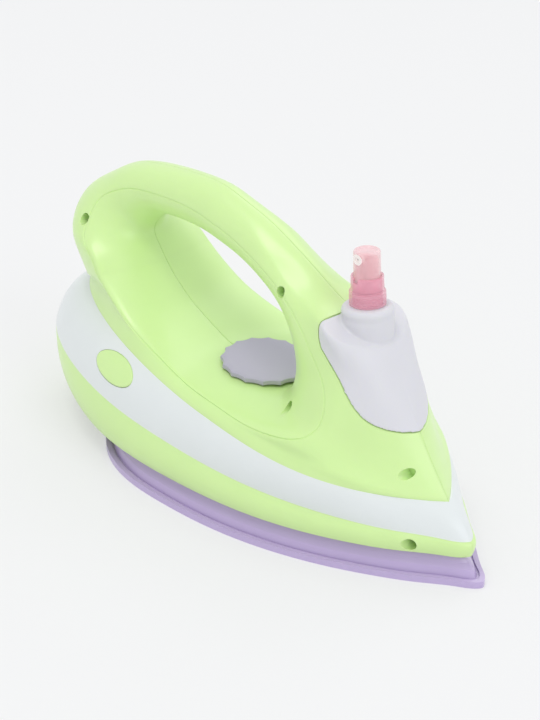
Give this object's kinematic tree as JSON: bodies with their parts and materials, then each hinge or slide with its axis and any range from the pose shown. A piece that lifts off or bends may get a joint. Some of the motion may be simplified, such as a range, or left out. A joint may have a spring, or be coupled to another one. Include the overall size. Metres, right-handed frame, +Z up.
{
  "type": "toy iron",
  "caption": "Play iron with a looped handle, a pointed sole, a turning dial and a refillable bottle with a finger pump in its nose.",
  "frame": {"origin": "under the middle of the whole iron, on the plane it stands on", "axes": "+X towards the pointed nose, +Z up, +Y to the far side of the picture; the moulded halves meet at y = 0"},
  "size_m": [0.2727, 0.1154, 0.128],
  "materials": {
    "green_plastic": "glossy lime green moulding",
    "white_plastic": "glossy white moulding",
    "bottle_plastic": "satin white blown bottle",
    "lilac_plastic": "glossy lilac moulding",
    "dial_plastic": "satin lilac moulding",
    "pink_head_plastic": "see-through pale pink",
    "pink_collar_plastic": "see-through rose pink",
    "clear_plastic": "milky see-through plastic",
    "insert_plastic": "pale insert",
    "seal_rubber": "soft pale seal",
    "steel": "bright steel"
  },
  "bodies": {
    "casing": {"soleplate": "lilac_plastic", "sole_screws": "steel", "skirt_left": "green_plastic", "skirt_right": "green_plastic", "band_left": "white_plastic", "band_right": "white_plastic", "band_plug_left": "green_plastic", "band_plug_right": "green_plastic", "upper_shell_left": "green_plastic", "upper_shell_right": "green_plastic", "case_screws": "steel", "water_bottle": "bottle_plastic"},
    "dial": {"dial": "dial_plastic", "dial_washer": "clear_plastic", "dial_screw": "steel"},
    "pump_body": {"pump_housing": "clear_plastic", "pump_gasket": "seal_rubber", "stem_guide": "clear_plastic", "pump_ball": "steel", "dip_tube": "clear_plastic", "pump_spring": "steel"},
    "collar": {"pump_collar": "pink_collar_plastic"},
    "plunger": {"pump_stem": "clear_plastic", "pump_piston": "clear_plastic"},
    "spray_head": {"actuator": "pink_head_plastic", "nozzle_insert": "insert_plastic"}
  },
  "joints": [
    {"name": "dial_turn", "type": "hinge", "parent": "casing", "child": "dial", "pos_m": [0.0006, 0, 0.0534], "axis": [0.0698, 0, 0.9976], "continuous": true},
    {"name": "pump_lift", "type": "slide", "parent": "casing", "child": "pump_body", "axis": [-0.0698, 0, 0.9976], "range_m": [0, 0.00749]},
    {"name": "collar_turn", "type": "hinge", "parent": "pump_body", "child": "collar", "pos_m": [0.063, 0, 0.1028], "axis": [-0.0698, 0, 0.9976], "range_deg": [0, 900]},
    {"name": "actuator_press", "type": "slide", "parent": "pump_body", "child": "plunger", "axis": [-0.0698, 0, 0.9976], "range_m": [-0.004, 0], "stiffness_N_per_m": 350, "springref_m": 0.004, "deforming": ["pump_spring"]},
    {"name": "head_swivel", "type": "hinge", "parent": "plunger", "child": "spray_head", "pos_m": [0.063, 0, 0.1028], "axis": [-0.0698, 0, 0.9976], "continuous": true}
  ],
  "couplings": [
    {"joint": "collar_turn", "follows": "pump_lift", "rad_per_m": 2094.4}
  ]
}
